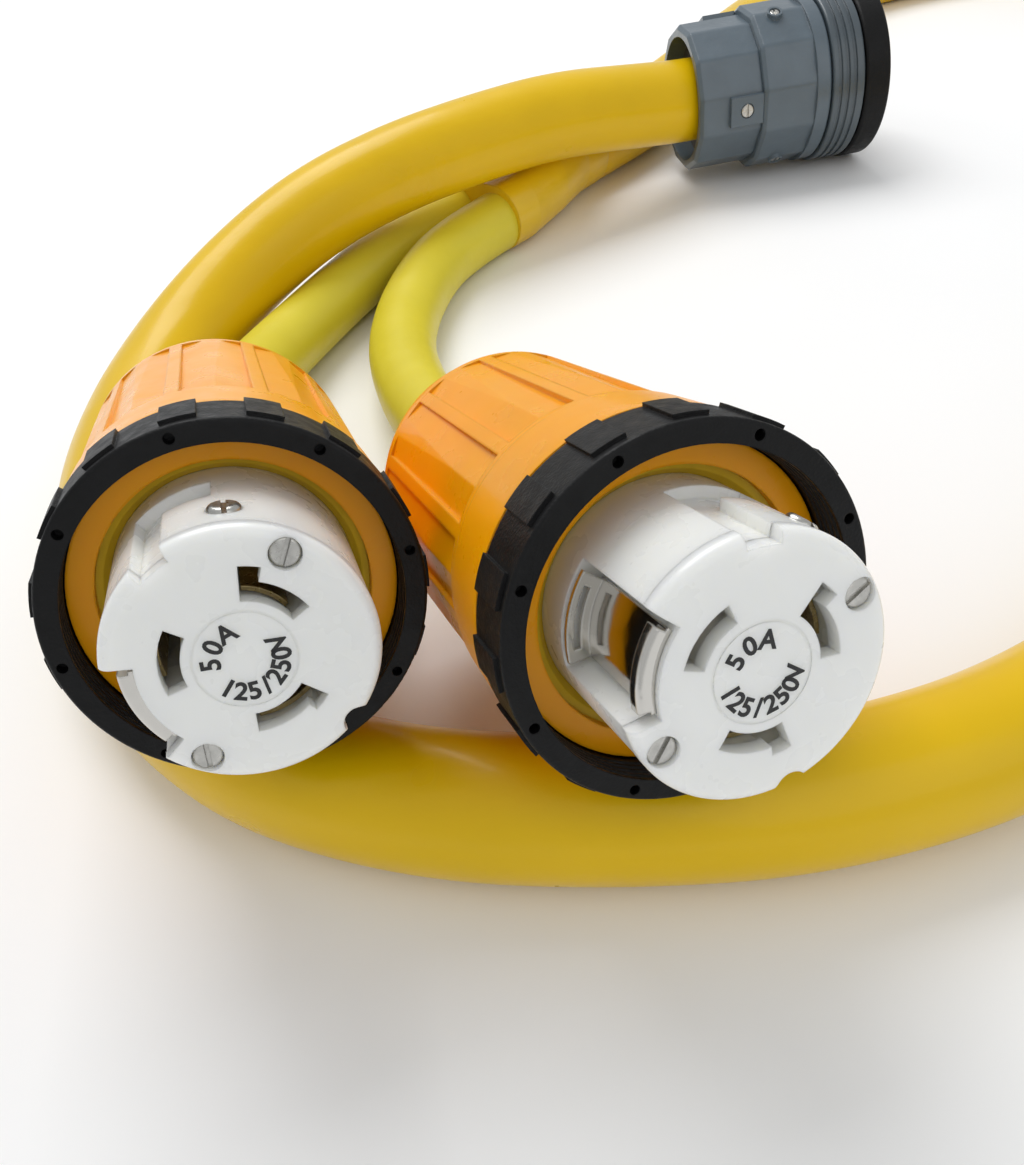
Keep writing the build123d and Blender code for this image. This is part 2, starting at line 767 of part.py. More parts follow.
def plug(trunk):
    pieces = {
        "plug_clamp_housing": clamp_housing(),
        "plug_mid_housing": mid_housing(),
        "plug_turn_ring": turn_ring(),
        "plug_collar": collar(),
        "plug_shroud": shroud(),
        "plug_pin_carrier": pin_carrier(),
        "plug_line_pins": line_pins(),
        "plug_ground_pin": contact_pin(3.55, 42, 86),
        "plug_pin_screws": pin_screws(),
        "plug_clamp_screws": plug_clamp_screws(),
        "plug_housing_screws": housing_screws(),
        "plug_clamp_jaws": clamp_jaws(),
        "plug_grommet": grommet(trunk),
        "plug_conductors": conductors(3.6, 7.2, 35.0, 41.8),
    }
    for name, solid in pieces.items():
        write(solid, name, PLUG_FRAME)


# ---------------------------------------------------------------- splitter
SPLIT_SECTIONS = (
    # distance from the mouth, spacing of the slot's centres, half height
    (0, LEG_GAP, MOUTH_H),
    (14, LEG_GAP, MOUTH_H + 0.5),
    (40, LEG_GAP * 0.55, MOUTH_H + 2.4),
    (64, 2.0, SPLIT_H - 0.5),
    (SPLIT_LEN, 0.5, SPLIT_H - 0.4),
)


def splitter():
    """Smooth moulding on the floor that joins the two legs to the trunk."""
    with BuildPart() as body:
        for distance, spacing, half_height in SPLIT_SECTIONS:
            with BuildSketch(Plane.XY.offset(distance)):
                with Locations((0, half_height - SPLIT_H)):
                    SlotCenterToCenter(spacing, 2 * half_height)
        loft(ruled=True)
    return body.part


# ---------------------------------------------------------------- cables
def along(point, direction, distance):
    return tuple(p + d * distance for p, d in zip(point, direction))


SPLIT_SIDE = SPLIT_AXIS.rotate(Axis.Z, 90)
LEFT_EXIT = along(LEFT_POINT, LEFT_AXIS, BUSH_END_Z)
RIGHT_EXIT = along(RIGHT_POINT, RIGHT_AXIS, BUSH_END_Z)
TRUNK_START = along(PLUG_POINT, PLUG_AXIS, 30)
TRUNK_END = (*along(SPLIT_POINT, SPLIT_AXIS, SPLIT_LEN)[:2], FLOOR_T)
LEG_MOUTH = (*SPLIT_POINT[:2], FLOOR_L)
LEFT_ENTRY = along(LEG_MOUTH, SPLIT_SIDE, LEG_GAP / 2)
RIGHT_ENTRY = along(LEG_MOUTH, SPLIT_SIDE, -LEG_GAP / 2)

TRUNK_ROUTE = [
    TRUNK_START,
    (126, 539.8, 38.6),
    (94, 527, 43.8),
    (56, 511, 50.4),
    (17, 494, 51.0),
    (-20, 475, 50.2),
    (-57, 452, 45.6),
    (-91, 427, 33.0),
    (-116, 393, 21.5),
    (-128, 343, FLOOR_T),
    (-126, 286, FLOOR_T),
    (-110, 229, FLOOR_T),
    (-75, 180, FLOOR_T),
    (-29, 155, FLOOR_T),
    (20, 144, FLOOR_T),
    (70, 140, FLOOR_T),
    (125, 151, FLOOR_T),
    (185, 186, FLOOR_T),
    (262, 247, FLOOR_T),
    (340, 318, FLOOR_T),
    (412, 396, FLOOR_T),
    (474, 479, FLOOR_T),
    (521, 560, FLOOR_T),
    (532, 641, FLOOR_T),
    (503, 718, FLOOR_T),
    (446, 775, FLOOR_T),
    (371, 800, FLOOR_T),
    (293, 787, FLOOR_T),
    (228, 742, FLOOR_T),
    (192, 697, FLOOR_T),
    (157, 652, FLOOR_T),
    (122, 605, FLOOR_T),
    along(TRUNK_END, SPLIT_AXIS, 32),
    TRUNK_END,
]

LEFT_ROUTE = [
    LEFT_EXIT,
    along(LEFT_EXIT, LEFT_AXIS, -31),
    (-85, 357, 22),
    (-72, 402, 14.5),
    (-47, 449, FLOOR_L),
    along(LEFT_ENTRY, SPLIT_AXIS, -32),
    LEFT_ENTRY,
]

RIGHT_ROUTE = [
    RIGHT_EXIT,
    along(RIGHT_EXIT, RIGHT_AXIS, -31),
    (-22, 341, 18),
    (-27, 388, 13.8),
    (-18, 433, FLOOR_L),
    along(RIGHT_ENTRY, SPLIT_AXIS, -32),
    RIGHT_ENTRY,
]


def corner_radii(points):
    """Largest even arcs: 0.45 of the shorter run over the tangent of half the turn."""
    radii = []
    for before, corner, after in zip(points, points[1:], points[2:]):
        run_in = corner - before
        run_out = after - corner
        half_turn = radians(run_in.get_angle(run_out)) / 2
        radii.append(0.45 * min(run_in.length, run_out.length) / tan(half_turn))
    return radii


def cable(label, route, diameter):
    """Round cable along straight runs joined by tangent arcs."""
    points = [place(*point) for point in route]
    radii = corner_radii(points)
    with BuildPart() as tube:
        with BuildLine() as path:
            FilletPolyline(*points, radius=radii)
        with BuildSketch(Plane(origin=points[0], z_dir=points[1] - points[0])):
            Circle(diameter / 2)
        sweep()
    length = path.wires()[0].length
    section = pi * diameter**2 / 4
    print(f"{label}: length {length:.0f}, smallest radius {min(radii):.0f},"
          f" volume over section x length {tube.part.volume / (section * length):.4f}")
    write(tube.part, label)
    return tube.part


os.makedirs("parts", exist_ok=True)
connector("left", LEFT_FRAME)
connector("right", RIGHT_FRAME)
plug(cable("trunk_cable", TRUNK_ROUTE, TRUNK_D))
write(splitter(), "splitter", SPLIT_FRAME)
cable("left_leg_cable", LEFT_ROUTE, LEG_D)
cable("right_leg_cable", RIGHT_ROUTE, LEG_D)

fittings = Compound(children=[piece for piece in written if not piece.label.endswith("leg_cable")
                              and piece.label != "trunk_cable"])
box = fittings.bounding_box(optimal=True)
print("pieces", len(written), "fittings' box", box.min, box.max, "middle", box.center())
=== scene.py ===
"""Looks of the shore power adapter cord: cables, connectors, plug, splitter, ratings and the stage."""

import json
from math import cos, pi, radians, sin

import bmesh
import bpy
from bpy.props import FloatProperty, FloatVectorProperty, PointerProperty, StringProperty
from mathutils import Matrix, Vector


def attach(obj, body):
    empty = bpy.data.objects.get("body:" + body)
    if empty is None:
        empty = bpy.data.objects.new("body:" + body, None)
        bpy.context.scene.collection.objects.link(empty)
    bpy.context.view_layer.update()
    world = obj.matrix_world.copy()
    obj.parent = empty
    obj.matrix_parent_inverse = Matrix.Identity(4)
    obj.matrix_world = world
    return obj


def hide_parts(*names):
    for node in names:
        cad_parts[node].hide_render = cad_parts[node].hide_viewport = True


bl_info = {
    "name": "Shore Power Adapter Cord",
    "version": (1, 0, 0),
    "blender": (4, 5, 0),
    "location": "View3D > Sidebar > Cord",
    "description": "Builds the looks of a shore power adapter cord round its packed parts",
    "category": "Object",
}

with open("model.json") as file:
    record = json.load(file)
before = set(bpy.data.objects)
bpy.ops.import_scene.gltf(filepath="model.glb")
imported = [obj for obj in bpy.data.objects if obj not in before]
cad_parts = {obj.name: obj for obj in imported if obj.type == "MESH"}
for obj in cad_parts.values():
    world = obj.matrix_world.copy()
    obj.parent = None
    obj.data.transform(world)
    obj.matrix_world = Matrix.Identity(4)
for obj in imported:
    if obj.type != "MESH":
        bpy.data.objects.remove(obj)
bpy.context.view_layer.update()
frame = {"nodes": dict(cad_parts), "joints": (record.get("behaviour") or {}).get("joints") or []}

MM = 0.001
BODY = "cord_set"
SIDES = ("left", "right")

# ---------------------------------------------------------------- places, from the frame's joints
JOINTS = {joint["name"]: joint for joint in frame["joints"]}


def joint_place(name):
    joint = JOINTS[name]
    return Vector(joint["pos_m"]), Vector(joint["axis"]).normalized()


def axis_frame(point, axis, roll=0.0):
    """Matrix at a point with Z along the axis and X level, then rolled about the axis."""
    level = Vector((-axis.y, axis.x, 0)).normalized()
    rise = axis.cross(level)
    x_axis = level * cos(roll) + rise * sin(roll)
    y_axis = axis.cross(x_axis)
    turned = Matrix((x_axis, y_axis, axis)).transposed()
    return Matrix.Translation(point) @ turned.to_4x4()


CONNECTOR_ROLL = {"left": radians(33), "right": 0.0}
CONNECTOR = {
    side: axis_frame(*joint_place(f"{side}_ring_spin"), CONNECTOR_ROLL[side]) for side in SIDES
}
TURN_RING_MIDDLE = 70 * MM  # from the plug's rear rim, along its axis
PLUG_MIDDLE, PLUG_AXIS = joint_place("plug_ring_turn")
PLUG = axis_frame(PLUG_MIDDLE - PLUG_AXIS * TURN_RING_MIDDLE, PLUG_AXIS)

FACE_Z = 24.1 * MM
CABLE_EXIT_Z = -138.7 * MM
TRUNK_END_Z = 30 * MM

# splitter and cables, in the layout frame: its origin is the part's, moved by ORIGIN
ORIGIN = Vector((0.053, 0.349, 0))
SPLIT_POINT = Vector((0.0135, 0.503, 0.0185))
SPLIT_AXIS = Vector((0.737, 0.676, 0)).normalized()
SPLIT_SIDE = Vector((-SPLIT_AXIS.y, SPLIT_AXIS.x, 0))
SPLIT_LEN = 0.080
LEG_GAP = 0.0276
TRUNK_REST = 0.018
LEG_REST = 0.01335


def place(x, y, z):
    """Layout point, in metres, to the part's frame."""
    return Vector((x, y, z)) - ORIGIN


TRUNK_MIDDLE = [
    (0.126, 0.5398, 0.0386),
    (0.094, 0.527, 0.0438),
    (0.056, 0.511, 0.0504),
    (0.017, 0.494, 0.0510),
    (-0.020, 0.475, 0.0502),
    (-0.057, 0.452, 0.0456),
    (-0.091, 0.427, 0.0330),
    (-0.116, 0.393, 0.0215),
    (-0.128, 0.343, TRUNK_REST),
    (-0.126, 0.286, TRUNK_REST),
    (-0.110, 0.229, TRUNK_REST),
    (-0.075, 0.180, TRUNK_REST),
    (-0.029, 0.155, TRUNK_REST),
    (0.020, 0.144, TRUNK_REST),
    (0.070, 0.140, TRUNK_REST),
    (0.125, 0.151, TRUNK_REST),
    (0.185, 0.186, TRUNK_REST),
    (0.262, 0.247, TRUNK_REST),
    (0.340, 0.318, TRUNK_REST),
    (0.412, 0.396, TRUNK_REST),
    (0.474, 0.479, TRUNK_REST),
    (0.521, 0.560, TRUNK_REST),
    (0.532, 0.641, TRUNK_REST),
    (0.503, 0.718, TRUNK_REST),
    (0.446, 0.775, TRUNK_REST),
    (0.371, 0.800, TRUNK_REST),
    (0.293, 0.787, TRUNK_REST),
    (0.228, 0.742, TRUNK_REST),
    (0.192, 0.697, TRUNK_REST),
    (0.157, 0.652, TRUNK_REST),
    (0.122, 0.605, TRUNK_REST),
]
LEFT_MIDDLE = [
    (-0.085, 0.357, 0.022),
    (-0.072, 0.402, 0.0145),
    (-0.047, 0.449, LEG_REST),
]
RIGHT_MIDDLE = [
    (-0.022, 0.341, 0.018),
    (-0.027, 0.388, 0.0138),
    (-0.018, 0.433, LEG_REST),
]
LAST_RUN = 0.032
EXIT_RUN = 0.031


def trunk_route():
    end = SPLIT_POINT + SPLIT_AXIS * SPLIT_LEN - ORIGIN
    end.z = TRUNK_REST
    start = PLUG @ Vector((0, 0, TRUNK_END_Z))
    return [start, *(place(*point) for point in TRUNK_MIDDLE), end + SPLIT_AXIS * LAST_RUN, end]


def leg_route(side):
    middle, across = (LEFT_MIDDLE, 0.5) if side == "left" else (RIGHT_MIDDLE, -0.5)
    start = CONNECTOR[side] @ Vector((0, 0, CABLE_EXIT_Z))
    second = CONNECTOR[side] @ Vector((0, 0, CABLE_EXIT_Z - EXIT_RUN))
    entry = SPLIT_POINT - ORIGIN + SPLIT_SIDE * (LEG_GAP * across)
    entry.z = LEG_REST
    return [start, second, *(place(*point) for point in middle), entry - SPLIT_AXIS * LAST_RUN, entry]


# ---------------------------------------------------------------- finishes
def node(tree, kind, **settings):
    """Shader node with its plain settings."""
    made = tree.nodes.new(kind)
    for name, value in settings.items():
        setattr(made, name, value)
    return made


def noise(tree, scale, detail=3.0, stretch=(1, 1, 1)):
    """Noise through the object's own coordinates, scale in cells per metre."""
    coordinates = node(tree, "ShaderNodeTexCoord")
    mapping = node(tree, "ShaderNodeMapping")
    mapping.inputs["Scale"].default_value = stretch
    texture = node(tree, "ShaderNodeTexNoise")
    texture.inputs["Scale"].default_value = scale
    texture.inputs["Detail"].default_value = detail
    tree.links.new(coordinates.outputs["Object"], mapping.inputs["Vector"])
    tree.links.new(mapping.outputs["Vector"], texture.inputs["Vector"])
    return texture.outputs["Fac"]


def spread(tree, source, low, high):
    """Noise near its middle, spread to run from low to high."""
    ranged = node(tree, "ShaderNodeMapRange")
    ranged.inputs["From Min"].default_value = 0.3
    ranged.inputs["From Max"].default_value = 0.7
    ranged.inputs["To Min"].default_value = low
    ranged.inputs["To Max"].default_value = high
    tree.links.new(source, ranged.inputs["Value"])
    return ranged.outputs["Result"]


def tint(color, factor):
    return (*(min(1.0, channel * factor) for channel in color), 1.0)


def bumps(tree, layers, rounding):
    """Normal from layers of noise, each (scale, height in metres), over rounded edges."""
    normal = None
    if rounding:
        bevel = node(tree, "ShaderNodeBevel", samples=4)
        bevel.inputs["Radius"].default_value = rounding
        normal = bevel.outputs["Normal"]
    for scale, height in layers:
        bump = node(tree, "ShaderNodeBump")
        bump.inputs["Strength"].default_value = 1.0
        bump.inputs["Distance"].default_value = height
        tree.links.new(noise(tree, scale, detail=2.0), bump.inputs["Height"])
        if normal:
            tree.links.new(normal, bump.inputs["Normal"])
        normal = bump.outputs["Normal"]
    return normal


def finish(name, color, roughness, mottle=0.06, patches=60, layers=(), rounding=0.0, **sockets):
    """Principled finish: mottled colour, uneven roughness, layered bumps, and sockets set as given."""
    material = bpy.data.materials.new(name)
    material.use_nodes = True
    material.diffuse_color = (*color, 1.0)
    tree = material.node_tree
    shader = tree.nodes["Principled BSDF"]
    ramp = node(tree, "ShaderNodeValToRGB")
    ramp.color_ramp.elements[0].position = 0.3
    ramp.color_ramp.elements[0].color = tint(color, 1 - mottle)
    ramp.color_ramp.elements[1].position = 0.7
    ramp.color_ramp.elements[1].color = tint(color, 1 + mottle)
    tree.links.new(noise(tree, patches), ramp.inputs["Fac"])
    tree.links.new(ramp.outputs["Color"], shader.inputs["Base Color"])
    uneven = spread(tree, noise(tree, patches * 2.3), roughness * 0.82, min(1.0, roughness * 1.2))
    tree.links.new(uneven, shader.inputs["Roughness"])
    normal = bumps(tree, layers, rounding)
    if normal:
        tree.links.new(normal, shader.inputs["Normal"])
    for socket, value in sockets.items():
        shader.inputs[socket.replace("_", " ")].default_value = value
    return material


def milky_nylon(color):
    return finish("milky_nylon", color, 0.28, 0.015, 45, ((260, 0.00003), (2600, 0.00001)), 0.0006,
                  Subsurface_Weight=0.6, Subsurface_Radius=(1.0, 0.95, 0.8), Subsurface_Scale=0.006,
                  Coat_Weight=0.25, Coat_Roughness=0.12)


def amber_plastic(color):
    return finish("amber_plastic", color, 0.3, 0.03, 40, ((45, 0.0003), (1500, 0.00001)), 0.0009,
                  Subsurface_Weight=0.2, Subsurface_Radius=(1.0, 0.4, 0.05), Subsurface_Scale=0.003,
                  Specular_IOR_Level=0.2, Coat_Weight=0.1, Coat_Roughness=0.08)


def ring_plastic(color):
    return finish("ring_plastic", color, 0.46, 0.25, 150, ((1500, 0.00012), (220, 0.00008)), 0.0004,
                  Specular_IOR_Level=0.2)


def gasket_rubber(color):
    return finish("gasket_rubber", color, 0.55, 0.08, 120, ((1200, 0.00003),), 0.0004)


def body_plastic(color):
    return finish("body_plastic", color, 0.5, 0.1, 90, ((900, 0.00004),), 0.0004)


def clamp_plastic(color):
    return finish("clamp_plastic", color, 0.5, 0.15, 90, ((900, 0.00005),), 0.0004)


def wire_rubber(color):
    return finish("wire_rubber", color, 0.5, 0.12, 160, ((700, 0.00004),), 0.0003)


def relief_rubber(color):
    return finish("relief_rubber", color, 0.5, 0.08, 90, ((800, 0.00005),), 0.0005)


def contact_brass(color):
    return finish("contact_brass", color, 0.3, 0.12, 220, ((1600, 0.00002),), 0.0003, Metallic=1.0)


def strip_steel(color):
    return finish("strip_steel", color, 0.1, 0.04, 70, ((90, 0.0002), (2500, 0.000008)), 0.0006,
                  Metallic=1.0)


def screw_steel(color):
    return finish("screw_steel", color, 0.3, 0.14, 500, ((1400, 0.00004),), 0.0003, Metallic=1.0)


def plug_paint(color):
    return finish("plug_paint", color, 0.34, 0.1, 55, ((420, 0.0001), (60, 0.0002)), 0.0008,
                  Coat_Weight=0.35, Coat_Roughness=0.2)


def ink(color):
    return finish("ink", color, 0.5, 0.1, 700, ((4000, 0.00001),))


def trunk_jacket(color):
    return finish("trunk_jacket", color, 0.32, 0.04, 18, ((28, 0.0010), (160, 0.0001), (1500, 0.00002)),
                  Subsurface_Weight=0.1, Subsurface_Radius=(1.0, 0.7, 0.1), Subsurface_Scale=0.003,
                  Specular_IOR_Level=0.22, Coat_Weight=0.15, Coat_Roughness=0.14)


def leg_jacket(color):
    return finish("leg_jacket", color, 0.42, 0.05, 22, ((34, 0.0009), (180, 0.0001), (1500, 0.00003)),
                  Subsurface_Weight=0.1, Subsurface_Radius=(1.0, 0.8, 0.2), Subsurface_Scale=0.003,
                  Coat_Weight=0.15, Coat_Roughness=0.3)


def splitter_skin(color):
    return finish("splitter_skin", color, 0.36, 0.06, 30, ((45, 0.0006), (1300, 0.00003)), 0.0012,
                  Coat_Weight=0.25, Coat_Roughness=0.2)


def floor_paint(color):
    return finish("floor_paint", color, 0.7, 0.01, 3, ((300, 0.00003),))


def paint(names, material):
    """Gives CAD nodes a finish."""
    for name in names:
        piece = frame["nodes"][name]
        piece.data.materials.clear()
        piece.data.materials.append(material)


def both(*names):
    """The same node of both connectors."""
    return [f"{side}_{name}" for side in SIDES for name in names]


# ---------------------------------------------------------------- building blocks
def link(name, data):
    made = bpy.data.objects.new(name, data)
    bpy.context.scene.collection.objects.link(made)
    return made


def cable(name, route, diameter):
    """Round jacket along one smooth curve that the route's points control."""
    curve = bpy.data.curves.new(name, "CURVE")
    curve.dimensions = "3D"
    curve.bevel_depth = diameter / 2
    curve.bevel_resolution = 14
    curve.use_fill_caps = True
    spline = curve.splines.new("NURBS")
    spline.points.add(len(route) - 1)
    for point, position in zip(spline.points, route):
        point.co = (*position, 1.0)
    spline.order_u = 3
    spline.use_endpoint_u = True
    spline.resolution_u = 12
    return link(name, curve)


def declare(piece, node_name):
    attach(piece, BODY)
    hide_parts(node_name)


STROKE_GROWTH = 0.028  # share of the font's size that each side of a stroke gains


def letter(text, size, thickness):
    """Mesh of one character, centred on its own middle, standing on the XY plane."""
    font = bpy.data.curves.new("letter", "FONT")
    font.body = text
    font.size = size
    font.extrude = thickness / 2
    font.offset = size * STROKE_GROWTH
    font.align_x = "CENTER"
    font.align_y = "CENTER"
    font.resolution_u = 4
    holder = link("letter", font)
    mesh = bpy.data.meshes.new_from_object(holder.evaluated_get(bpy.context.evaluated_depsgraph_get()))
    bpy.data.objects.remove(holder)
    bpy.data.curves.remove(font)
    return mesh


# ---------------------------------------------------------------- settings
class CORD_PG_cables(bpy.types.PropertyGroup):
    """Sizes and colours of the three cables and the splitter"""
    trunk_diameter: FloatProperty(name="Trunk diameter", description="Outside of the trunk's jacket",
                                  default=0.036, min=0.01, max=0.06, subtype="DISTANCE", unit="LENGTH")
    leg_diameter: FloatProperty(name="Leg diameter", description="Outside of a leg's jacket",
                                default=0.0267, min=0.01, max=0.05, subtype="DISTANCE", unit="LENGTH")
    trunk_length: FloatProperty(name="Trunk length", description="Declared length of the trunk",
                                default=2.044, min=0.3, max=20.0, subtype="DISTANCE", unit="LENGTH")
    left_length: FloatProperty(name="Left leg length", description="Declared length of the left leg",
                               default=0.253, min=0.1, max=5.0, subtype="DISTANCE", unit="LENGTH")
    right_length: FloatProperty(name="Right leg length", description="Declared length of the right leg",
                                default=0.246, min=0.1, max=5.0, subtype="DISTANCE", unit="LENGTH")
    trunk_color: FloatVectorProperty(name="Trunk", description="Colour of the trunk's jacket",
                                     default=(0.74, 0.47, 0.0005), min=0, max=1, subtype="COLOR")
    leg_color: FloatVectorProperty(name="Legs", description="Colour of the legs' jackets",
                                   default=(0.68, 0.58, 0.03), min=0, max=1, subtype="COLOR")
    splitter_color: FloatVectorProperty(name="Splitter", description="Colour of the moulded splitter",
                                        default=(0.72, 0.47, 0.003), min=0, max=1, subtype="COLOR")


class CORD_PG_connectors(bpy.types.PropertyGroup):
    """Colours and lettering of the two locking connectors"""
    ring_color: FloatVectorProperty(name="Lock ring", description="Colour of the lock rings",
                                    default=(0.004, 0.004, 0.0042), min=0, max=1, subtype="COLOR")
    boot_color: FloatVectorProperty(name="Boot", description="Colour of the weatherproof boots",
                                    default=(0.90, 0.36, 0.0002), min=0, max=1, subtype="COLOR")
    gasket_color: FloatVectorProperty(name="Gasket", description="Colour of the seal round the nose",
                                      default=(0.62, 0.42, 0.01), min=0, max=1, subtype="COLOR")
    nose_color: FloatVectorProperty(name="Nose", description="Colour of the nose and its cap",
                                    default=(0.88, 0.88, 0.835), min=0, max=1, subtype="COLOR")
    letter_height: FloatProperty(name="Letter height", description="Height of the ratings' capitals",
                                 default=0.0035, min=0.001, max=0.006, subtype="DISTANCE", unit="LENGTH")
    current_rating: StringProperty(name="Current", description="Rating on the upper arc", default="50A")
    voltage_rating: StringProperty(name="Voltage", description="Rating on the lower arc", default="125/250V")
    ink_color: FloatVectorProperty(name="Ink", description="Colour of the ratings",
                                   default=(0.012, 0.012, 0.012), min=0, max=1, subtype="COLOR")


class CORD_PG_metals(bpy.types.PropertyGroup):
    """Colours of the metal and inner pieces"""
    brass_color: FloatVectorProperty(name="Contacts", description="Colour of contacts and pins",
                                     default=(0.62, 0.48, 0.24), min=0, max=1, subtype="COLOR")
    strip_color: FloatVectorProperty(name="Ground strip", description="Colour of the ground strips",
                                     default=(0.62, 0.60, 0.56), min=0, max=1, subtype="COLOR")
    screw_color: FloatVectorProperty(name="Screws", description="Colour of all screws",
                                     default=(0.50, 0.49, 0.46), min=0, max=1, subtype="COLOR")
    inner_color: FloatVectorProperty(name="Inner bodies", description="Colour of the insulating bodies",
                                     default=(0.16, 0.16, 0.17), min=0, max=1, subtype="COLOR")
    clamp_color: FloatVectorProperty(name="Clamps", description="Colour of the cord clamps",
                                     default=(0.03, 0.03, 0.03), min=0, max=1, subtype="COLOR")
    wire_color: FloatVectorProperty(name="Conductors", description="Colour of the conductors' insulation",
                                    default=(0.12, 0.12, 0.12), min=0, max=1, subtype="COLOR")
    relief_color: FloatVectorProperty(name="Strain reliefs", description="Colour of bushings and grommet",
                                      default=(0.03, 0.03, 0.03), min=0, max=1, subtype="COLOR")


class CORD_PG_plug(bpy.types.PropertyGroup):
    """Colours of the large plug"""
    housing_color: FloatVectorProperty(name="Housing", description="Colour of the housings",
                                       default=(0.085, 0.115, 0.14), min=0, max=1, subtype="COLOR")
    turn_ring_color: FloatVectorProperty(name="Turning ring", description="Colour of the turning ring",
                                         default=(0.060, 0.080, 0.095), min=0, max=1, subtype="COLOR")


class CORD_PG_stage(bpy.types.PropertyGroup):
    """Floor, lights and camera"""
    floor_size: FloatProperty(name="Floor", description="Side of the square floor",
                              default=14.0, min=1.0, max=50.0, subtype="DISTANCE", unit="LENGTH")
    floor_color: FloatVectorProperty(name="Floor colour", description="Colour of the floor",
                                     default=(0.92, 0.92, 0.92), min=0, max=1, subtype="COLOR")
    key_power: FloatProperty(name="Key light", description="Power of the overhead light",
                             default=13.0, min=0.0, max=500.0, unit="POWER")
    fill_power: FloatProperty(name="Fill light", description="Power of the light beside the camera",
                              default=3.0, min=0.0, max=500.0, unit="POWER")
    sky_strength: FloatProperty(name="Surroundings", description="Strength of the even light from all round",
                                default=0.62, min=0.0, max=5.0)
    camera_height: FloatProperty(name="Camera height", description="Height of the camera above the floor",
                                 default=0.21917, min=0.05, max=5.0, subtype="DISTANCE", unit="LENGTH")
    camera_tilt: FloatProperty(name="Camera tilt", description="Angle of the view from straight down",
                               default=radians(45.05), min=0.0, max=pi, subtype="ANGLE", unit="ROTATION")
    camera_roll: FloatProperty(name="Camera roll", description="Turn of the picture about the view's axis",
                               default=radians(-8.39), min=-pi, max=pi, subtype="ANGLE", unit="ROTATION")
    camera_lens: FloatProperty(name="Focal length", description="Focal length on a 36 mm sensor",
                               default=32.266, min=5.0, max=300.0)


# ---------------------------------------------------------------- operators
class CORD_OT_cables(bpy.types.Operator):
    """Lay the trunk and the two legs along their routes"""
    bl_idname = "cord.cables"
    bl_label = "Cables"

    def execute(self, context):
        look = context.scene.cord_cables
        trunk = cable("trunk", trunk_route(), look.trunk_diameter)
        trunk.data.materials.append(trunk_jacket(look.trunk_color))
        declare(trunk,
                "trunk_cable")
        jacket = leg_jacket(look.leg_color)
        for side, length in zip(SIDES, (look.left_length, look.right_length)):
            leg = cable(f"{side}_leg", leg_route(side), look.leg_diameter)
            leg.data.materials.append(jacket)
            declare(leg,
                    f"{side}_leg_cable")
        paint(both("cable_tail"), jacket)
        return {"FINISHED"}


class CORD_OT_splitter(bpy.types.Operator):
    """Finish the moulded splitter"""
    bl_idname = "cord.splitter"
    bl_label = "Splitter"

    def execute(self, context):
        paint(["splitter"], splitter_skin(context.scene.cord_cables.splitter_color))
        return {"FINISHED"}


class CORD_OT_rings(bpy.types.Operator):
    """Finish the lock rings"""
    bl_idname = "cord.rings"
    bl_label = "Lock rings"

    def execute(self, context):
        paint(both("lock_ring"), ring_plastic(context.scene.cord_connectors.ring_color))
        return {"FINISHED"}


class CORD_OT_boots(bpy.types.Operator):
    """Finish the boots and their gaskets"""
    bl_idname = "cord.boots"
    bl_label = "Boots"

    def execute(self, context):
        look = context.scene.cord_connectors
        paint(both("boot"), amber_plastic(look.boot_color))
        paint(both("boot_gasket"), gasket_rubber(look.gasket_color))
        return {"FINISHED"}


class CORD_OT_noses(bpy.types.Operator):
    """Finish the noses and their caps"""
    bl_idname = "cord.noses"
    bl_label = "Noses"

    def execute(self, context):
        nylon = milky_nylon(context.scene.cord_connectors.nose_color)
        paint(both("face_cap", "front_barrel"), nylon)
        return {"FINISHED"}


class CORD_OT_ratings(bpy.types.Operator):
    """Print the ratings on the caps, the current on an upper arc and the voltage on a lower arc"""
    bl_idname = "cord.ratings"
    bl_label = "Ratings"

    CAPITAL_SHARE = 0.70  # a capital's height over the font's size
    THICKNESS = 0.00006
    ARCS = (
        # property, radius of the letters' middles, middle angle, step, +1 where tops point out
        ("current_rating", 0.0060, 106, -33, 1),
        ("voltage_rating", 0.0067, 266.5, 21.3, -1),
    )

    def arc(self, mesh, text, size, radius, middle, step, way):
        """Adds the text's letters to the mesh, along an arc in the cap's plane."""
        first = middle - step * (len(text) - 1) / 2
        for count, character in enumerate(text):
            angle = radians(first + step * count)
            turn = angle - way * pi / 2
            spot = Vector((radius * cos(angle), radius * sin(angle), self.THICKNESS / 2))
            shape = letter(character, size, self.THICKNESS)
            shape.transform(Matrix.Translation(spot) @ Matrix.Rotation(turn, 4, "Z"))
            mesh.from_mesh(shape)
            bpy.data.meshes.remove(shape)

    def execute(self, context):
        look = context.scene.cord_connectors
        black = ink(look.ink_color)
        size = look.letter_height / self.CAPITAL_SHARE
        for side in SIDES:
            built = bmesh.new()
            for text, radius, middle, step, way in self.ARCS:
                self.arc(built, getattr(look, text), size, radius, middle, step, way)
            mesh = bpy.data.meshes.new(f"{side}_ratings")
            built.to_mesh(mesh)
            built.free()
            mesh.transform(CONNECTOR[side] @ Matrix.Translation((0, 0, FACE_Z)))
            mesh.materials.append(black)
            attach(link(f"{side}_ratings", mesh), BODY)
        return {"FINISHED"}


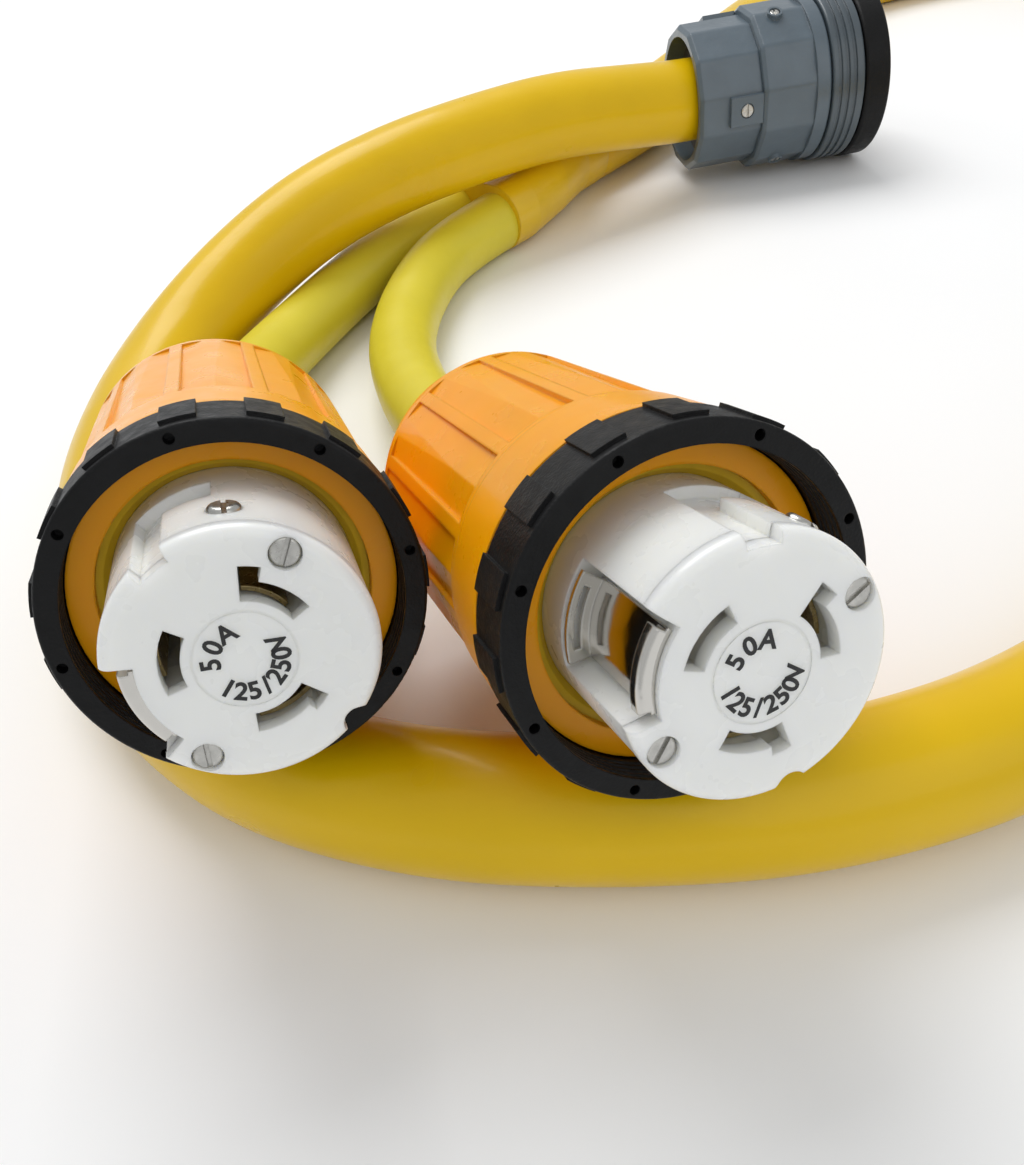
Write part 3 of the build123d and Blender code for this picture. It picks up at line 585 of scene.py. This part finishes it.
class CORD_OT_metals(bpy.types.Operator):
    """Finish the contacts, ground strips and screws"""
    bl_idname = "cord.metals"
    bl_label = "Contacts and screws"

    def execute(self, context):
        look = context.scene.cord_metals
        brass = contact_brass(look.brass_color)
        paint(both("contact_x", "contact_y", "contact_w"), brass)
        paint(["plug_line_pins", "plug_ground_pin"], brass)
        paint(both("ground_strip"), strip_steel(look.strip_color))
        screws = both("face_screws", "ground_screw", "terminal_screws", "clamp_screws")
        screws += ["plug_pin_screws", "plug_clamp_screws", "plug_housing_screws"]
        paint(screws, screw_steel(look.screw_color))
        return {"FINISHED"}


class CORD_OT_insides(bpy.types.Operator):
    """Finish the bodies, clamps, conductors and strain reliefs"""
    bl_idname = "cord.insides"
    bl_label = "Inner pieces"

    def execute(self, context):
        look = context.scene.cord_metals
        paint([*both("rear_body"), "plug_pin_carrier"], body_plastic(look.inner_color))
        clamps = [*both("cord_clamp_upper", "cord_clamp_lower"), "plug_clamp_jaws"]
        paint(clamps, clamp_plastic(look.clamp_color))
        paint([*both("conductors"), "plug_conductors"], wire_rubber(look.wire_color))
        paint([*both("cable_bushing"), "plug_grommet"], relief_rubber(look.relief_color))
        return {"FINISHED"}


class CORD_OT_plug(bpy.types.Operator):
    """Finish the plug's housings, turning ring, collar and shroud"""
    bl_idname = "cord.plug"
    bl_label = "Plug"

    def execute(self, context):
        look = context.scene.cord_plug
        paint(["plug_clamp_housing", "plug_mid_housing"], plug_paint(look.housing_color))
        paint(["plug_turn_ring"], plug_paint(look.turn_ring_color))
        dark = ring_plastic(context.scene.cord_connectors.ring_color)
        paint(["plug_collar", "plug_shroud"], dark)
        return {"FINISHED"}


class CORD_OT_stage(bpy.types.Operator):
    """Lay the floor, hang the lights and set the camera"""
    bl_idname = "cord.stage"
    bl_label = "Stage"

    KEY = {"size": 0.9, "spot": (-0.25, 0.75, 1.25), "aim": (0.0, 0.0, 0.05)}
    FILL = {"size": 1.2, "spot": (0.5, -1.1, 0.9), "aim": (0.0, -0.1, 0.05)}
    SKY_COLOR = (0.96, 0.98, 1.0, 1.0)
    VIEW_SHIFT = 0.0597  # the view is taken from a little above the camera's own axis

    def floor(self, look):
        half = look.floor_size / 2
        corners = [(-half, -half, 0), (half, -half, 0), (half, half, 0), (-half, half, 0)]
        mesh = bpy.data.meshes.new("floor")
        mesh.from_pydata(corners, [], [(0, 1, 2, 3)])
        mesh.materials.append(floor_paint(look.floor_color))
        link("floor", mesh)

    def light(self, name, power, size, spot, aim):
        data = bpy.data.lights.new(name, "AREA")
        data.energy = power
        data.size = size
        holder = link(name, data)
        holder.location = spot
        holder.rotation_euler = (Vector(aim) - Vector(spot)).to_track_quat("-Z", "Y").to_euler()

    def camera(self, look):
        data = bpy.data.cameras.new("camera")
        data.lens = look.camera_lens
        data.shift_y = self.VIEW_SHIFT
        data.clip_start = 0.01
        holder = link("camera", data)
        turned = Matrix.Rotation(look.camera_tilt, 4, "X") @ Matrix.Rotation(look.camera_roll, 4, "Z")
        holder.matrix_world = Matrix.Translation(place(0, 0, look.camera_height)) @ turned
        bpy.context.scene.camera = holder

    def execute(self, context):
        look = context.scene.cord_stage
        self.floor(look)
        self.light("key", look.key_power, **self.KEY)
        self.light("fill", look.fill_power, **self.FILL)
        world = bpy.data.worlds.new("surroundings")
        world.use_nodes = True
        background = world.node_tree.nodes["Background"]
        background.inputs["Color"].default_value = self.SKY_COLOR
        background.inputs["Strength"].default_value = look.sky_strength
        context.scene.world = world
        context.scene.view_settings.view_transform = "Standard"
        self.camera(look)
        return {"FINISHED"}


class CORD_PT_panel(bpy.types.Panel):
    """Sidebar panel that lists the steps and their settings"""
    bl_label = "Shore power cord"
    bl_idname = "CORD_PT_panel"
    bl_space_type = "VIEW_3D"
    bl_region_type = "UI"
    bl_category = "Cord"

    def draw(self, context):
        for operator in OPERATORS:
            self.layout.operator(operator.bl_idname)
        for name, group in GROUPS.items():
            box = self.layout.box()
            settings = getattr(context.scene, name)
            for field in group.__annotations__:
                box.prop(settings, field)


GROUPS = {
    "cord_cables": CORD_PG_cables,
    "cord_connectors": CORD_PG_connectors,
    "cord_metals": CORD_PG_metals,
    "cord_plug": CORD_PG_plug,
    "cord_stage": CORD_PG_stage,
}
OPERATORS = (
    CORD_OT_stage,
    CORD_OT_cables,
    CORD_OT_splitter,
    CORD_OT_rings,
    CORD_OT_boots,
    CORD_OT_noses,
    CORD_OT_ratings,
    CORD_OT_metals,
    CORD_OT_insides,
    CORD_OT_plug,
)


def register():
    for kind in (*GROUPS.values(), *OPERATORS, CORD_PT_panel):
        bpy.utils.register_class(kind)
    for name, group in GROUPS.items():
        setattr(bpy.types.Scene, name, PointerProperty(type=group))


def unregister():
    for name in GROUPS:
        delattr(bpy.types.Scene, name)
    for kind in reversed((*GROUPS.values(), *OPERATORS, CORD_PT_panel)):
        bpy.utils.unregister_class(kind)


def main():
    register()
    bpy.ops.cord.stage()
    bpy.ops.cord.cables()
    bpy.ops.cord.splitter()
    bpy.ops.cord.rings()
    bpy.ops.cord.boots()
    bpy.ops.cord.noses()
    bpy.ops.cord.ratings()
    bpy.ops.cord.metals()
    bpy.ops.cord.insides()
    bpy.ops.cord.plug()


if __name__ == "__main__":
    main()
